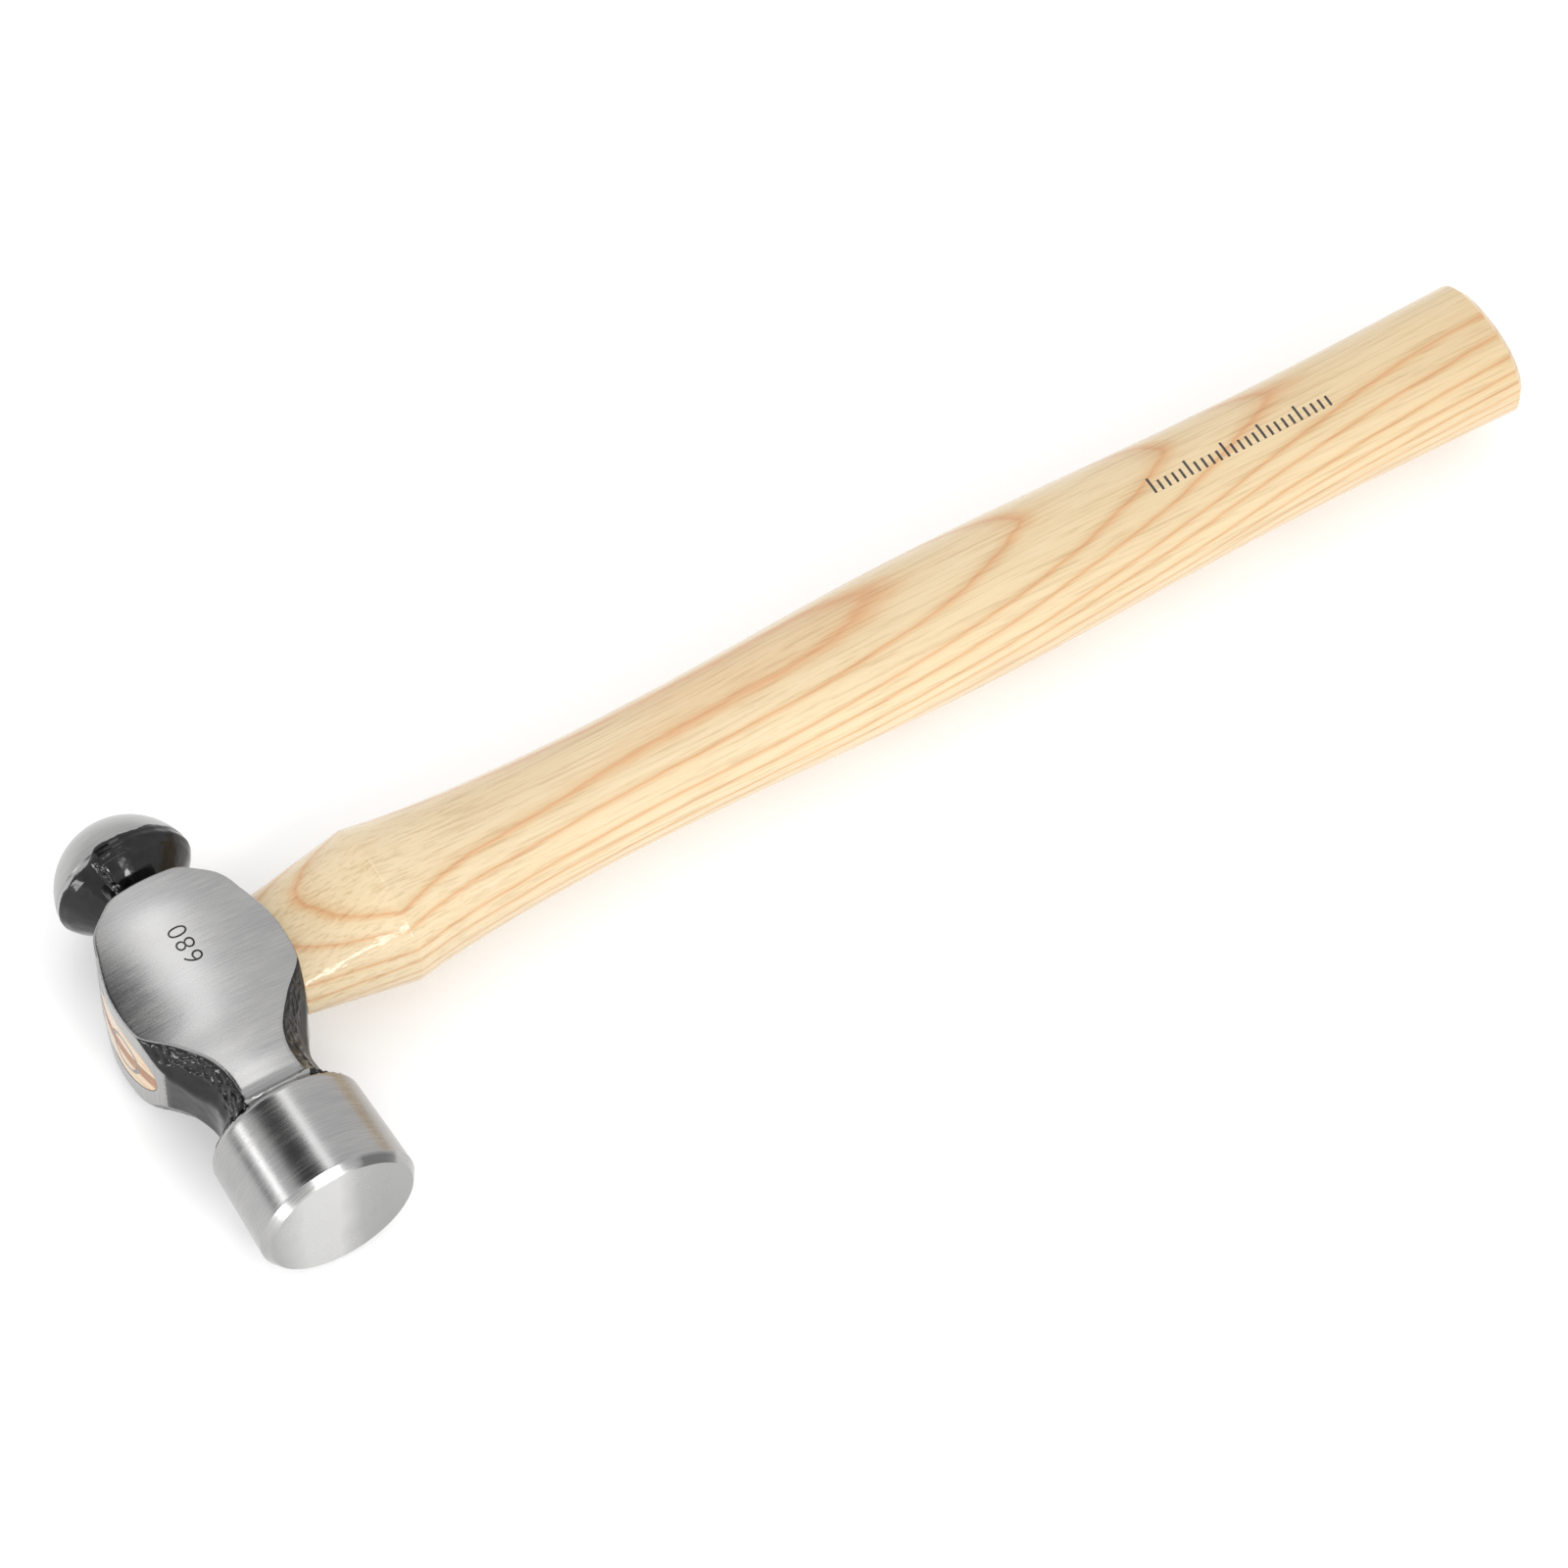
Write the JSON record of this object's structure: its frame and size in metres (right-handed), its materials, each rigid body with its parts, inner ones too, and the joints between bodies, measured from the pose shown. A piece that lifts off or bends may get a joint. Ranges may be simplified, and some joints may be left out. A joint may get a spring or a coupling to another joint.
{
  "type": "ball peen hammer",
  "caption": "Ball peen hammer: forged steel head with a round flat face, a ball peen and a wedged oval eye, on an oval wooden handle.",
  "frame": {"origin": "inside the eye, where the head's long axis crosses the handle's axis", "axes": "+X along the handle from the head to the butt, -Y towards the striking face, +Y towards the ball peen, +Z square to the cheeks, so the hammer lies on its side"},
  "size_m": [0.3623, 0.1127, 0.038],
  "materials": {
    "forged_steel": "satin ground steel, with glossy black lacquer in the forged hollows of both necks",
    "handle_wood": "pale hickory or ash, clear varnish, satin to gloss",
    "wedge_wood": "red-brown hardwood end grain, sanded flush",
    "ring_steel": "bare mild steel, ground flush"
  },
  "bodies": {
    "root": {"head": "forged_steel", "handle": "handle_wood", "wood_wedge": "wedge_wood", "ring_wedge": "ring_steel"}
  },
  "joints": []
}
